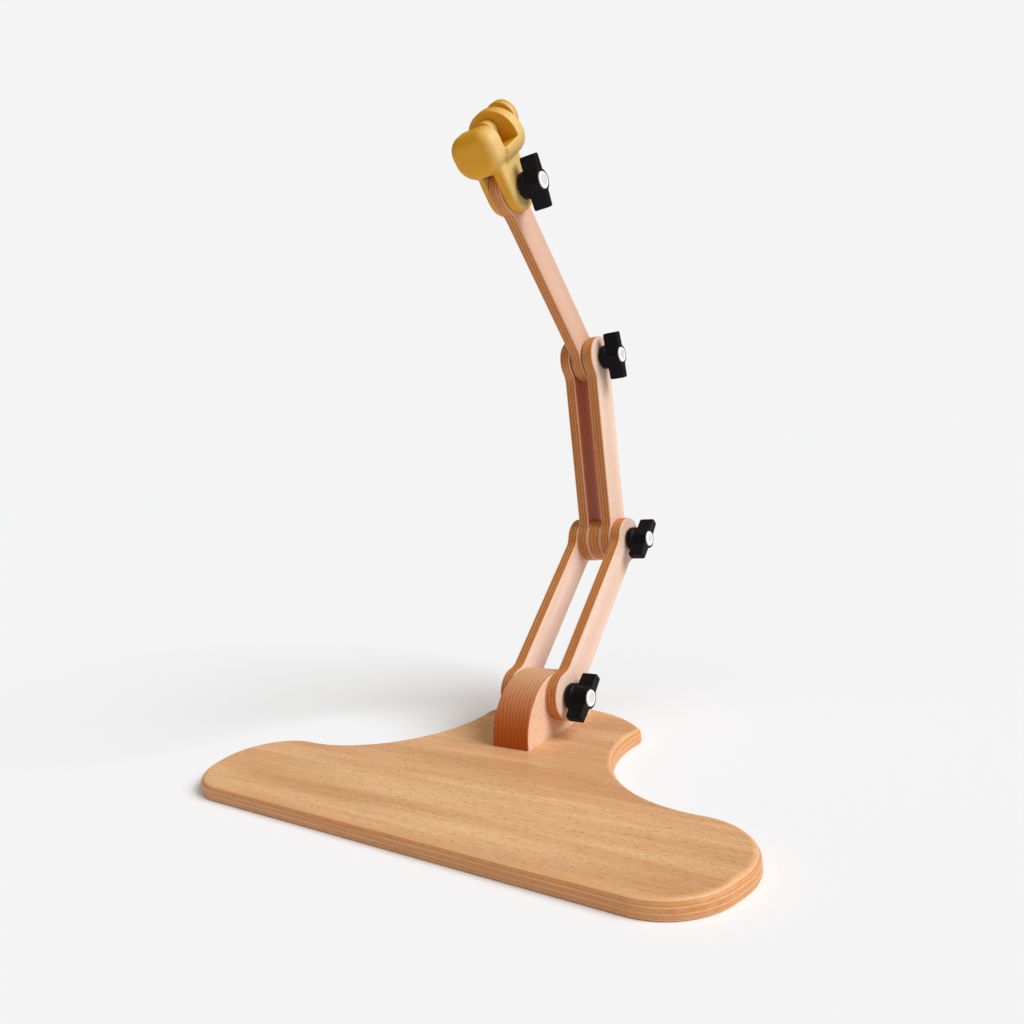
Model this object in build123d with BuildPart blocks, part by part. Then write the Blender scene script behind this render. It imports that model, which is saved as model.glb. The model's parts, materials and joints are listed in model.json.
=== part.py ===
"""Seat stand for an embroidery hoop: a sit-on plywood base, three links and a clamp head.

Frame: millimetres, +Z up, origin on the underside of the base straight below the lowest pivot.
+Y points away from the sitter, and every pivot axis runs along X, with the wing knobs on +X.
"""

import os
from math import cos, radians, sin, sqrt

from build123d import *

# ---- driving dimensions ----------------------------------------------------------------------

# base plate
base_thickness = 11.0
base_front = -179.5  # Y of the straight edge that the sitter sits behind
base_rear = 53.5  # Y of the middle of the rounded rear edge
base_side = [(195.0, base_front), (219.0, -86.5), (55.0, -86.5)]  # corners of the half outline
base_side_radii = (44.5, 42.0, 91.5)
neck_corner = (70.0, 24.0)
neck_corner_radius = 10.0
base_top_round = 4.5
base_bottom_round = 2.0

# half-round pivot block
block_width = 31.2
block_radius = 44.5
pivot_height = 38.4  # above the underside of the base
block_screw_pitch = 44.0
block_screw_radius = 2.5
block_screw_head_radius = 5.0
block_screw_length = 37.0

# links
ply = 9.4
link_pitch = 154.0
link_head_radius = 18.0
link_shank_width = 25.0
link_blend_radius = 14.0
link_edge_round = 1.0
lower_lean = 49.3  # degrees from upright towards +Y
middle_lean = -0.45
upper_lean = -37.8
clamp_lean = -36.5
side_gap = 0.2  # between parts that turn on each other

# pivot bolts, M6 with a domed head and a square neck
bolt_radius = 3.0
bolt_bore_radius = 3.05
bolt_head_radius = 7.5
bolt_head_height = 3.0
bolt_neck_width = 6.0
bolt_neck_depth = 4.0
neck_clearance = 0.05

# washers under the knobs and beside the upper link
washer_radius = 6.25
washer_thickness = 1.4
washer_bore_radius = 3.2
wrist_washer_radius = 9.0
face_gap = 0.05

# wing knobs
knob_length = 18.2  # from the link's face to the end of the hub
knob_flange_radius = 9.8
knob_flange_length = 5.0
knob_hub_radius = 8.2
wing_reach = 19.0
wing_start = 5.4  # from the link's face
wing_length = 12.8
wing_root_width = 9.0
wing_tip_width = 6.6
insert_radius = 5.2
insert_length = 12.4
bolt_reach = 13.4  # how far the bolt stands out of the link's face
cap_radius = 6.6
cap_depth = 3.0
cap_rise = 0.9
wing_turn = {"block": 50.0, "elbow": 47.0, "wrist": -10.5, "head": -22.5}

# clamp head, in its own frame: l runs up from its pivot, f towards the front jaw
jaw_half_width = 21.0
front_jaw_half_width = 18.6
head_bottom = 18.6
slot_floor = 32.0
slot_front = 8.5
slot_rear = -10.5
head_front = 25.0
head_rear = -25.0  # at the foot of the rear jaw
head_rear_top = -20.8  # at its top
rear_jaw_centre = 34.3
front_jaw_top = 51.0
front_jaw_corner = 12.0
head_bottom_corner = 15.5
head_front_round = 9.0
head_rear_round = 3.5
prong_inner = 5.0
prong_outer = 13.6  # on the knob's side
prong_far = 10.4  # on the bolt head's side
prong_radius = 16.5
prong_round = 3.8
notch_top = 19.9

# clamping screw, M8, square to the jaws
screw_height = 42.2
screw_radius = 4.0
screw_bore_radius = 4.05
screw_tip = -5.5
jaw_insert_radius = 6.0
jaw_insert_rear = -21.5
clamp_knob_radius = 12.6
clamp_knob_front = -29.8
clamp_knob_end = -39.5
clamp_knob_round = 3.0
pad_radius = 8.0
pad_front = -2.5
pad_rear = -9.5
pad_round = 1.2

# ---- worked-out places -----------------------------------------------------------------------

lower_inner = block_width / 2 + side_gap
lower_outer = lower_inner + ply
middle_outer = lower_inner - side_gap - face_gap
middle_inner = middle_outer - ply
upper_half = ply / 2


def up_the_link(lean):
    """Unit vector from a link's lower pivot to its upper one."""
    return Vector(0, sin(radians(lean)), cos(radians(lean)))


block_pivot = Vector(0, 0, pivot_height)
elbow_pivot = block_pivot + up_the_link(lower_lean) * link_pitch
wrist_pivot = elbow_pivot + up_the_link(middle_lean) * link_pitch
head_pivot = wrist_pivot + up_the_link(upper_lean) * link_pitch


def side_plane(x, pivot, lean=0.0):
    """Plane square to X through a pivot, with its own x running up at that lean."""
    return Plane(origin=Vector(x, pivot.Y, pivot.Z), x_dir=up_the_link(lean), z_dir=(1, 0, 0))


def shaft_plane(pivot):
    """Plane along a pivot axis: its x is the distance along X, its y the radius."""
    return Plane(origin=(0, pivot.Y, pivot.Z), x_dir=(1, 0, 0), z_dir=(0, 0, 1))


def dome(base_x, tip_x, radius):
    """Half outline of a shallow dome, from its rim to its tip on the pivot axis."""
    rise = abs(tip_x - base_x)
    sphere = (rise**2 + radius**2) / (2 * rise)
    middle_x = base_x + (tip_x - base_x) * (sqrt(sphere**2 - radius**2 / 4) - sphere + rise) / rise
    return ThreePointArc((base_x, radius), (middle_x, radius / 2), (tip_x, 0))


def outer_edges(part, face_index):
    """The rim of the face that lies lowest (0) or highest (-1) along X."""
    return part.faces().sort_by(Axis.X)[face_index].outer_wire().edges()


def write(part, name):
    """Label a finished piece and write it as its own STEP file."""
    part.label = name
    export_step(part, f"parts/{name}.step")


os.makedirs("parts", exist_ok=True)

# ---- base and pivot block --------------------------------------------------------------------

screw_spots = [(0, -block_screw_pitch / 2), (0, block_screw_pitch / 2)]

with BuildPart() as base_plate:
    with BuildSketch():
        with BuildLine():
            side = FilletPolyline((0, base_front), *base_side, neck_corner, radius=base_side_radii)
            mirror(side, about=Plane.YZ)
            ThreePointArc(neck_corner, (0, base_rear), (-neck_corner[0], neck_corner[1]))
        make_face()
        corners = [v for v in vertices() if abs(v.Y - neck_corner[1]) < 0.01]
        fillet(corners, radius=neck_corner_radius)
    extrude(amount=base_thickness)
    fillet(base_plate.faces().sort_by(Axis.Z)[-1].edges(), radius=base_top_round)
    fillet(base_plate.faces().sort_by(Axis.Z)[0].edges(), radius=base_bottom_round)
    with Locations(Plane.XY * Rotation(180, 0, 0)):
        with Locations(*[(x, -y) for x, y in screw_spots]):
            CounterSinkHole(block_screw_radius, block_screw_head_radius, base_thickness)

write(base_plate.part, "base_plate")

with BuildPart() as pivot_block:
    block_centre = Vector(0, 0, base_thickness)
    with BuildSketch(side_plane(-block_width / 2, block_centre, 90.0)):
        Circle(block_radius)
        with Locations((0, block_radius / 2)):
            Rectangle(2 * block_radius, block_radius, mode=Mode.INTERSECT)
    extrude(amount=block_width)
    fillet(pivot_block.edges().filter_by(GeomType.CIRCLE), radius=1.2)
    with BuildSketch(side_plane(-block_width / 2, block_pivot)):
        Circle(bolt_bore_radius)
    extrude(amount=block_width, mode=Mode.SUBTRACT)
    with BuildSketch(Plane.XY.offset(base_thickness)):
        with Locations(*screw_spots):
            Circle(block_screw_radius)
    extrude(amount=block_screw_length - base_thickness, mode=Mode.SUBTRACT)

write(pivot_block.part, "pivot_block")

with BuildPart() as block_screws:
    head_height = block_screw_head_radius - block_screw_radius
    with BuildSketch(Plane.XY.offset(0.4)):
        with Locations(*screw_spots):
            Circle(block_screw_radius)
    extrude(amount=block_screw_length - 1.0)
    with BuildSketch(Plane.XY.offset(0.4)):
        with Locations(*screw_spots):
            Circle(block_screw_head_radius - 0.5)
    extrude(amount=head_height - 0.5, taper=45)
    with BuildSketch(Plane.XY.offset(0.4)):
        with Locations(*screw_spots):
            Rectangle(5.0, 1.2)
            Rectangle(1.2, 5.0)
    extrude(amount=1.2, mode=Mode.SUBTRACT)

write(block_screws.part, "block_screws")

# ---- links -----------------------------------------------------------------------------------

# name, X of its inner face, its lower pivot, its lean, and the ends that hold a square bolt neck
link_places = [
    ("lower_link_left", -lower_outer, block_pivot, lower_lean, (0.0, link_pitch)),
    ("lower_link_right", lower_inner, block_pivot, lower_lean, ()),
    ("middle_link_left", -middle_outer, elbow_pivot, middle_lean, (link_pitch,)),
    ("middle_link_right", middle_inner, elbow_pivot, middle_lean, ()),
    ("upper_link", -upper_half, wrist_pivot, upper_lean, ()),
]

for name, low_x, pivot, lean, neck_ends in link_places:
    with BuildPart() as link:
        with BuildSketch(side_plane(low_x, pivot, lean)):
            with Locations((0, 0), (link_pitch, 0)):
                Circle(link_head_radius)
            with Locations((link_pitch / 2, 0)):
                Rectangle(link_pitch, link_shank_width)
            fillet(vertices().filter_by(lambda v: abs(v.Y) > 1), radius=link_blend_radius)
        extrude(amount=ply)
        fillet(outer_edges(link, 0), radius=link_edge_round)
        fillet(outer_edges(link, -1), radius=link_edge_round)
        with BuildSketch(side_plane(low_x, pivot, lean)):
            with Locations((0, 0), (link_pitch, 0)):
                Circle(bolt_bore_radius)
        extrude(amount=ply, mode=Mode.SUBTRACT)
        if neck_ends:
            with BuildSketch(side_plane(low_x, pivot, lean)):
                with Locations(*[(end, 0) for end in neck_ends]):
                    Rectangle(*2 * [bolt_neck_width + 2 * neck_clearance])
            extrude(amount=bolt_neck_depth + neck_clearance, mode=Mode.SUBTRACT)
    write(link.part, name)

with BuildPart() as elbow_spacer:
    with BuildSketch(side_plane(-middle_inner, elbow_pivot)):
        Circle(link_head_radius - 0.4)
        Circle(bolt_bore_radius, mode=Mode.SUBTRACT)
    extrude(amount=2 * middle_inner)

write(elbow_spacer.part, "elbow_spacer")

with BuildPart() as wrist_washers:
    for low_x in (-middle_inner, upper_half + face_gap):
        with BuildSketch(side_plane(low_x, wrist_pivot)):
            Circle(wrist_washer_radius)
            Circle(washer_bore_radius, mode=Mode.SUBTRACT)
        extrude(amount=middle_inner - upper_half - face_gap)

write(wrist_washers.part, "wrist_washers")

# ---- clamp head ------------------------------------------------------------------------------

head_up = up_the_link(clamp_lean)
head_forward = Vector(0, -cos(radians(clamp_lean)), sin(radians(clamp_lean)))


def jaw_plane(f):
    """Plane square to the clamping screw at distance f: its x is X, its y runs up the head."""
    return Plane(origin=head_pivot + head_forward * f, x_dir=(1, 0, 0), z_dir=head_forward)


with BuildPart() as clamp_body:
    # rear jaw and the floor of the slot, a round-topped slab
    with BuildSketch(jaw_plane(head_rear)):
        with BuildLine():
            FilletPolyline(
                (-jaw_half_width, rear_jaw_centre),
                (-jaw_half_width, head_bottom),
                (jaw_half_width, head_bottom),
                (jaw_half_width, rear_jaw_centre),
                radius=head_bottom_corner,
            )
            ThreePointArc(
                (jaw_half_width, rear_jaw_centre),
                (0, rear_jaw_centre + jaw_half_width),
                (-jaw_half_width, rear_jaw_centre),
            )
        make_face()
    extrude(amount=slot_front - head_rear)
    # its back leans in towards the top
    with BuildSketch(side_plane(-2 * jaw_half_width, head_pivot, clamp_lean)):
        with BuildLine():
            Polyline(
                (head_bottom, head_rear),
                (rear_jaw_centre + jaw_half_width, head_rear_top),
                (rear_jaw_centre + jaw_half_width, 2 * head_rear),
                (head_bottom, 2 * head_rear),
                close=True,
            )
        make_face()
    extrude(amount=4 * jaw_half_width, mode=Mode.SUBTRACT)
    back = clamp_body.faces().sort_by(Axis(head_pivot, head_forward))[0]
    fillet(back.edges(), radius=head_rear_round)
    # front jaw, domed by a large rounding
    with BuildSketch(jaw_plane(slot_front)):
        with Locations((0, (head_bottom + front_jaw_top) / 2)):
            Rectangle(2 * front_jaw_half_width, front_jaw_top - head_bottom)
        fillet(vertices().filter_by(lambda v: v.Y > head_bottom + 1), radius=front_jaw_corner)
        fillet(vertices().filter_by(lambda v: v.Y < head_bottom + 0.1), radius=head_bottom_corner)
    extrude(amount=head_front - slot_front)
    front = clamp_body.faces().sort_by(Axis(head_pivot, head_forward))[-1]
    fillet(front.edges(), radius=head_front_round)
    # slot for the hoop, open at the top and through X
    with BuildSketch(jaw_plane(slot_rear)):
        with Locations((0, slot_floor + jaw_half_width)):
            Rectangle(3 * jaw_half_width, 2 * jaw_half_width)
    extrude(amount=slot_front - slot_rear, mode=Mode.SUBTRACT)
    # notch that the upper link's head turns in
    with BuildSketch(side_plane(-prong_inner, head_pivot, clamp_lean)):
        with Locations((notch_top - 30, 0)):
            Rectangle(60, 120)
    extrude(amount=2 * prong_inner, mode=Mode.SUBTRACT)
    # fork prongs
    for low_x, width, round_end in (
        (prong_inner, prong_outer - prong_inner, -1),
        (-prong_far, prong_far - prong_inner, 0),
    ):
        with BuildPart(mode=Mode.PRIVATE) as prong:
            with BuildSketch(side_plane(low_x, head_pivot, clamp_lean)):
                Circle(prong_radius)
                with Locations(((notch_top + 4) / 2, 0)):
                    Rectangle(notch_top + 4, 2 * prong_radius)
            extrude(amount=width)
            rim = outer_edges(prong, round_end).sort_by(Axis(head_pivot, head_up))[:-1]
            fillet(rim, radius=prong_round)
        add(prong.part)
    # bore for the pivot bolt, with a square seat for its neck
    with BuildSketch(side_plane(-prong_far, head_pivot)):
        Circle(bolt_bore_radius)
    extrude(amount=prong_far + prong_outer, mode=Mode.SUBTRACT)
    with BuildSketch(side_plane(-prong_far, head_pivot, clamp_lean)):
        Rectangle(*2 * [bolt_neck_width + 2 * neck_clearance])
    extrude(amount=bolt_neck_depth + neck_clearance, mode=Mode.SUBTRACT)
    # bore for the jaw insert
    with BuildSketch(jaw_plane(head_rear)):
        with Locations((0, screw_height)):
            Circle(jaw_insert_radius)
    extrude(amount=slot_rear - head_rear, mode=Mode.SUBTRACT)

write(clamp_body.part, "clamp_body")

with BuildPart() as jaw_insert:
    with BuildSketch(jaw_plane(jaw_insert_rear)):
        with Locations((0, screw_height)):
            Circle(jaw_insert_radius)
            Circle(screw_bore_radius, mode=Mode.SUBTRACT)
    extrude(amount=slot_rear - jaw_insert_rear - 0.5)

write(jaw_insert.part, "jaw_insert")

with BuildPart() as clamp_screw:
    with BuildSketch(jaw_plane(clamp_knob_end + 4.0)):
        with Locations((0, screw_height)):
            Circle(screw_radius)
    extrude(amount=screw_tip - clamp_knob_end - 4.0)
    tip = clamp_screw.faces().sort_by(Axis(head_pivot, head_forward))[-1]
    chamfer(tip.edges(), length=0.8)

write(clamp_screw.part, "clamp_screw")

with BuildPart() as clamp_knob:
    with BuildSketch(jaw_plane(clamp_knob_end)):
        with Locations((0, screw_height)):
            Circle(clamp_knob_radius)
    extrude(amount=clamp_knob_front - clamp_knob_end)
    end = clamp_knob.faces().sort_by(Axis(head_pivot, head_forward))[0]
    fillet(end.edges(), radius=clamp_knob_round)
    near = clamp_knob.faces().sort_by(Axis(head_pivot, head_forward))[-1]
    fillet(near.edges(), radius=1.2)
    with BuildSketch(jaw_plane(clamp_knob_end + 4.0)):
        with Locations((0, screw_height)):
            Circle(screw_radius)
    extrude(amount=clamp_knob_front - clamp_knob_end - 4.0, mode=Mode.SUBTRACT)

write(clamp_knob.part, "clamp_knob")

with BuildPart() as clamp_pad:
    with BuildSketch(jaw_plane(pad_rear)):
        with Locations((0, screw_height)):
            Circle(pad_radius)
    extrude(amount=pad_front - pad_rear)
    face = clamp_pad.faces().sort_by(Axis(head_pivot, head_forward))[-1]
    fillet(face.edges(), radius=pad_round)
    with BuildSketch(jaw_plane(pad_rear)):
        with Locations((0, screw_height)):
            Circle(screw_bore_radius)
    extrude(amount=screw_tip - pad_rear + face_gap, mode=Mode.SUBTRACT)

write(clamp_pad.part, "clamp_pad")

# ---- pivot hardware, the same set at each of the four pivots ------------------------------------

# name, pivot, X of the face that the knob bears on, X of the one under the bolt's head, and the
# lean of the square neck
pivot_sets = [
    ("block", block_pivot, lower_outer, -lower_outer, lower_lean),
    ("elbow", elbow_pivot, lower_outer, -lower_outer, lower_lean),
    ("wrist", wrist_pivot, middle_outer, -middle_outer, middle_lean),
    ("head", head_pivot, prong_outer, -prong_far, clamp_lean),
]

for name, pivot, face_x, far_x, neck_lean in pivot_sets:
    axle = Axis(pivot, (1, 0, 0))
    hub_x = face_x + 2 * face_gap + washer_thickness
    end_x = face_x + knob_length

    with BuildPart() as bolt:
        with BuildSketch(shaft_plane(pivot)):
            with BuildLine():
                Line((far_x, 0), (far_x, bolt_head_radius))
                dome(far_x, far_x - bolt_head_height, bolt_head_radius)
                Line((far_x - bolt_head_height, 0), (far_x, 0))
            make_face()
        revolve(axis=axle)
        with BuildSketch(side_plane(far_x, pivot, neck_lean)):
            Rectangle(bolt_neck_width, bolt_neck_width)
        extrude(amount=bolt_neck_depth)
        with BuildSketch(side_plane(far_x, pivot)):
            Circle(bolt_radius)
        extrude(amount=face_x - far_x + bolt_reach)
        chamfer(bolt.faces().sort_by(Axis.X)[-1].edges(), length=0.7)
    write(bolt.part, f"{name}_bolt")

    with BuildPart() as washer:
        with BuildSketch(side_plane(face_x + face_gap, pivot)):
            Circle(washer_radius)
            Circle(washer_bore_radius, mode=Mode.SUBTRACT)
        extrude(amount=washer_thickness)
    write(washer.part, f"{name}_washer")

    with BuildPart() as wing_knob:
        with BuildSketch(side_plane(hub_x, pivot)):
            Circle(knob_hub_radius)
        extrude(amount=end_x - hub_x)
        with BuildSketch(side_plane(hub_x, pivot)):
            Circle(knob_flange_radius)
        extrude(amount=knob_flange_length)
        with BuildSketch(side_plane(face_x + wing_start, pivot, wing_turn[name])):
            with BuildLine():
                Polyline(
                    (0, wing_root_width / 2),
                    (wing_reach, wing_tip_width / 2),
                    (wing_reach, -wing_tip_width / 2),
                    (0, -wing_root_width / 2),
                    (-wing_reach, -wing_tip_width / 2),
                    (-wing_reach, wing_tip_width / 2),
                    close=True,
                )
            make_face()
            fillet(vertices().filter_by(lambda v: abs(v.X) > 1), radius=2.4)
        extrude(amount=wing_length)
        with BuildSketch(side_plane(hub_x, pivot, wing_turn[name])):
            RegularPolygon(insert_radius, 6)
        extrude(amount=insert_length, mode=Mode.SUBTRACT)
        with BuildSketch(side_plane(end_x - cap_depth, pivot)):
            Circle(cap_radius)
        extrude(amount=cap_depth, mode=Mode.SUBTRACT)
    write(wing_knob.part, f"{name}_knob")

    with BuildPart() as insert:
        with BuildSketch(side_plane(hub_x, pivot, wing_turn[name])):
            RegularPolygon(insert_radius, 6)
            Circle(bolt_bore_radius, mode=Mode.SUBTRACT)
        extrude(amount=insert_length)
    write(insert.part, f"{name}_insert")

    with BuildPart() as cap:
        with BuildSketch(shaft_plane(pivot)):
            with BuildLine():
                Polyline(
                    (end_x, cap_radius),
                    (end_x - cap_depth, cap_radius),
                    (end_x - cap_depth, 0),
                    (end_x + cap_rise, 0),
                )
                dome(end_x, end_x + cap_rise, cap_radius)
            make_face()
        revolve(axis=axle)
    write(cap.part, f"{name}_cap")
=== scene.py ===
"""Seat stand for an embroidery hoop: surfaces and fine shapes around the fixed CAD frame."""

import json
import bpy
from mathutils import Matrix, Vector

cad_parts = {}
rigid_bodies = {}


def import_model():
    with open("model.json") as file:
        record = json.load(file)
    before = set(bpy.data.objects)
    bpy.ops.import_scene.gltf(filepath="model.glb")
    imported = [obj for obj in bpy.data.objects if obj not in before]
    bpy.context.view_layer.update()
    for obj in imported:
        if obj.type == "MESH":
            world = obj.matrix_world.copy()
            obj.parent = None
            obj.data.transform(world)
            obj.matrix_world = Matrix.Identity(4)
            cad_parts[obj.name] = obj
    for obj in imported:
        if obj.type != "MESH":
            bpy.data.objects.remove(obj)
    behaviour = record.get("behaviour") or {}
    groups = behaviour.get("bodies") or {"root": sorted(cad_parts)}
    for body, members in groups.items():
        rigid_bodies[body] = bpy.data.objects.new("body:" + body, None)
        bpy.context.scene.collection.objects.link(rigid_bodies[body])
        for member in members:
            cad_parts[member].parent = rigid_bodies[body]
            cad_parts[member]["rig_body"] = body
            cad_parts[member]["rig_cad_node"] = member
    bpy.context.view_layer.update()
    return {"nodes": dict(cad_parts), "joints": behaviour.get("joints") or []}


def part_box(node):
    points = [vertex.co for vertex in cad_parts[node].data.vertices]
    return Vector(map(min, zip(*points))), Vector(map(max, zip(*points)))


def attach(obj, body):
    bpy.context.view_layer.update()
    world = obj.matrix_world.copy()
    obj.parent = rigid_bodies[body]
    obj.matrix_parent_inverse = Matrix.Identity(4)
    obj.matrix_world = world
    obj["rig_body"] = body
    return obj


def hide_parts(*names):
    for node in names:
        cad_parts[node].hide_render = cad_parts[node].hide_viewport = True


bl_info = {
    "name": "Hoop seat stand",
    "version": (1, 0, 0),
    "blender": (4, 5, 0),
    "location": "View3D > Sidebar > Hoop stand",
    "description": "Beech plywood, moulded wing knobs and a clamp head for a sit-on hoop stand",
    "category": "Object",
}

from math import atan2, cos, pi, radians, sin

import bpy
from bpy.props import FloatProperty, FloatVectorProperty, IntProperty, PointerProperty
from mathutils import Matrix, Vector

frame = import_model()

MM = 0.001
PIVOTS = ("block", "elbow", "wrist", "head")
joint_named = {joint["name"]: joint for joint in frame["joints"]}
pivot_at = {name: Vector(joint_named[f"{name}_pivot"]["pos_m"]) for name in PIVOTS}


def lean_between(low, high):
    """The lean from upright towards +Y of the line from one pivot to the next."""
    step = pivot_at[high] - pivot_at[low]
    return atan2(step.y, step.z)


LOWER_LEAN = lean_between("block", "elbow")
MIDDLE_LEAN = lean_between("elbow", "wrist")
UPPER_LEAN = lean_between("wrist", "head")
HEAD_FORWARD = Vector(joint_named["pad_travel"]["axis"])

# Points closer than this are one point, in metres
SAME_PLACE = 1e-6


def linear(hex_colour):
    """A hex sRGB colour as linear RGBA."""
    channels = [int(hex_colour[i : i + 2], 16) / 255 for i in (1, 3, 5)]
    return [c / 12.92 if c <= 0.04045 else ((c + 0.055) / 1.055) ** 2.4 for c in channels] + [1.0]


def colour_property(name, description, hex_colour):
    """A colour that the sidebar shows as a swatch."""
    return FloatVectorProperty(
        name=name, description=description, default=linear(hex_colour), size=4, subtype="COLOR", min=0, max=1
    )


def length_property(name, description, millimetres):
    """A length in metres, from its value in millimetres."""
    return FloatProperty(
        name=name, description=description, default=millimetres * MM, min=0, unit="LENGTH", subtype="DISTANCE"
    )


class HoopStandSizes(bpy.types.PropertyGroup):
    """Sizes of the fine shapes that the frame doesn't hold."""

    hub_radius: length_property("Hub radius", "Radius of a wing knob's hub", 8.2)
    flange_radius: length_property("Flange radius", "Radius of the collar against the link", 9.8)
    wing_reach: length_property("Wing reach", "From the bolt's axis to a wing's tip", 19.0)
    wing_root: length_property("Wing root", "Thickness of a wing at the hub", 9.0)
    wing_tip: length_property("Wing tip", "Thickness of a wing at its tip", 6.8)
    cap_radius: length_property("Cap radius", "Radius of a knob's press-in cap", 6.1)
    dish_radius: length_property("Dish radius", "Radius of the shallow dish in a cap", 3.8)
    thread_pitch: length_property("Thread pitch", "Pitch of the clamping screw", 1.25)
    ply_layers: IntProperty(name="Plies", description="Veneers in a sheet of plywood", default=7, min=3)
    glue_line: length_property("Glue line", "Thickness of a glue line on a ply edge", 0.22)
    streak_width: length_property("Streak width", "Width of a grain streak in beech", 2.4)
    fleck_length: length_property("Fleck length", "Length of a ray fleck in beech", 2.8)


class HoopStandColours(bpy.types.PropertyGroup):
    """Colours of the surfaces."""

    seat_veneer: colour_property("Seat veneer", "Face veneer of the base plate", "#f3c798")
    link_veneer: colour_property("Link veneer", "Face veneer of the links", "#ecd0c0")
    # painted shade: the upper link's faces get a darker copy of the link veneer
    upper_veneer_painted_shade: colour_property("Upper veneer painted shade", "Darker copy of the link veneer, painted shade on the upper link", "#d9b29d")
    ply_core: colour_property("Ply core", "Layers whose grain runs along the edge", "#dc9f60")
    ply_cross: colour_property("Ply cross layers", "Layers seen as end grain", "#bb5f14")
    glue: colour_property("Glue line", "Dark line between two plies", "#7a2f05")
    solid_beech: colour_property("Solid beech", "Long grain of the pivot block", "#e9c4aa")
    late_wood: colour_property("Late wood", "Dark line of each growth ring", "#a9602a")
    end_grain: colour_property("End grain", "Oiled end grain of the pivot block", "#c25c06")
    head_plastic: colour_property("Head plastic", "Moulded clamp head", "#d6991a")
    # painted highlight: a paler copy of the head colour for the side that faces the key light
    head_painted_highlight: colour_property("Head painted highlight", "Paler colour painted on the head's side facing the key light", "#dfc080")
    knob_plastic: colour_property("Knob plastic", "Moulded wing knobs", "#050508")
    cap_plastic: colour_property("Cap plastic", "Press-in caps", "#f2f2f2")
    # painted shade: a light grey for the shallow dish of a cap, standing in for the shade in the recess
    dish_painted_shade: colour_property("Cap dish", "Shallow dish of a cap", "#d3d3d8")
    zinc: colour_property("Zinc plate", "Bolts, washers and screws", "#c8cacd")
    brass: colour_property("Brass", "Threaded inserts", "#c9a25a")
    floor: colour_property("Floor", "Studio floor", "#f7f9fc")


# ---- small helpers ---------------------------------------------------------------------------


def deselect():
    """Leaves nothing selected."""
    bpy.ops.object.select_all(action="DESELECT")


def pick(obj):
    """Makes one object the only selected and the active one."""
    deselect()
    obj.select_set(True)
    bpy.context.view_layer.objects.active = obj


def settle(obj):
    """Puts the object's place into its mesh, so that its own origin is the frame's."""
    pick(obj)
    bpy.ops.object.transform_apply(location=True, rotation=True, scale=True)


def apply_modifier(obj, kind, **settings):
    """Adds one modifier and applies it at once."""
    pick(obj)
    made = obj.modifiers.new(kind.title(), kind)
    for key, value in settings.items():
        setattr(made, key, value)
    bpy.ops.object.modifier_apply(modifier=made.name)


def copy_of(obj, name):
    """A copy with its own mesh."""
    pick(obj)
    bpy.ops.object.duplicate(linked=False)
    made = bpy.context.object
    made.name = name
    return made


def merged_copy(node, name):
    """A copy of a CAD node's shape with its loose triangles joined up."""
    made = copy_of(frame["nodes"][node], name)
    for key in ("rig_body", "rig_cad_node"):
        del made[key]
    made.parent = None
    bpy.ops.object.mode_set(mode="EDIT")
    bpy.ops.mesh.select_all(action="SELECT")
    bpy.ops.mesh.remove_doubles(threshold=SAME_PLACE)
    bpy.ops.object.mode_set(mode="OBJECT")
    return made


def wear(obj, *materials):
    """Gives the object these materials and no others."""
    obj.data.materials.clear()
    for material in materials:
        obj.data.materials.append(material)


def turned(name, profile, steps=72):
    """A shape turned about the X axis, from its outline as (along, radius) in millimetres."""
    deselect()
    bpy.ops.mesh.primitive_plane_add(size=MM)
    made = bpy.context.object
    made.name = name
    bpy.ops.object.mode_set(mode="EDIT")
    bpy.ops.mesh.select_all(action="SELECT")
    bpy.ops.mesh.merge(type="CENTER")
    along, radius = profile[0]
    bpy.ops.transform.translate(value=(along * MM, 0, radius * MM))
    for next_along, next_radius in profile[1:]:
        step = ((next_along - along) * MM, 0, (next_radius - radius) * MM)
        bpy.ops.mesh.extrude_vertices_move(TRANSFORM_OT_translate={"value": step})
        along, radius = next_along, next_radius
    bpy.ops.mesh.select_all(action="SELECT")
    bpy.ops.mesh.spin(steps=steps, angle=2 * pi, center=(0, 0, 0), axis=(1, 0, 0))
    bpy.ops.mesh.select_all(action="SELECT")
    bpy.ops.mesh.remove_doubles(threshold=SAME_PLACE)
    bpy.ops.mesh.normals_make_consistent(inside=False)
    bpy.ops.object.mode_set(mode="OBJECT")
    return made


def smooth(obj, angle=35):
    """Smooth shading that keeps edges sharper than the angle."""
    pick(obj)
    bpy.ops.object.shade_smooth_by_angle(angle=radians(angle))


def place(obj, matrix):
    """Moves a piece modelled at the origin to where it belongs, and keeps that in its mesh."""
    obj.matrix_world = matrix
    settle(obj)


def head_matrix():
    """The clamp head's own frame: X along the jaws, Y up the head, Z towards the front jaw."""
    across = Vector((1, 0, 0))
    turn = Matrix((across, HEAD_FORWARD.cross(across), HEAD_FORWARD)).transposed()
    return Matrix.Translation(pivot_at["head"]) @ turn.to_4x4()


# ---- materials -------------------------------------------------------------------------------

# How long and wide the marks of the wood are, in metres
STREAK_LENGTH = 70 * MM
BAND_SIZE = (240 * MM, 22 * MM, 30 * MM)
PLY_WANDER = 0.5 * MM
PLY_WANDER_SIZE = (30 * MM, 30 * MM, 30 * MM)
RING_PITCH = 3.0 * MM
RING_BOW = 7 * MM
RING_BOW_SIZE = (16 * MM, 60 * MM, 22 * MM)
RING_LEAN = 0.06

# The same for the plastics and metals
SINK_SIZE = (16 * MM, 16 * MM, 16 * MM)
CLOUD_SIZE = (5 * MM, 5 * MM, 5 * MM)
TOOL_MARK_LENGTH = 6 * MM


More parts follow.
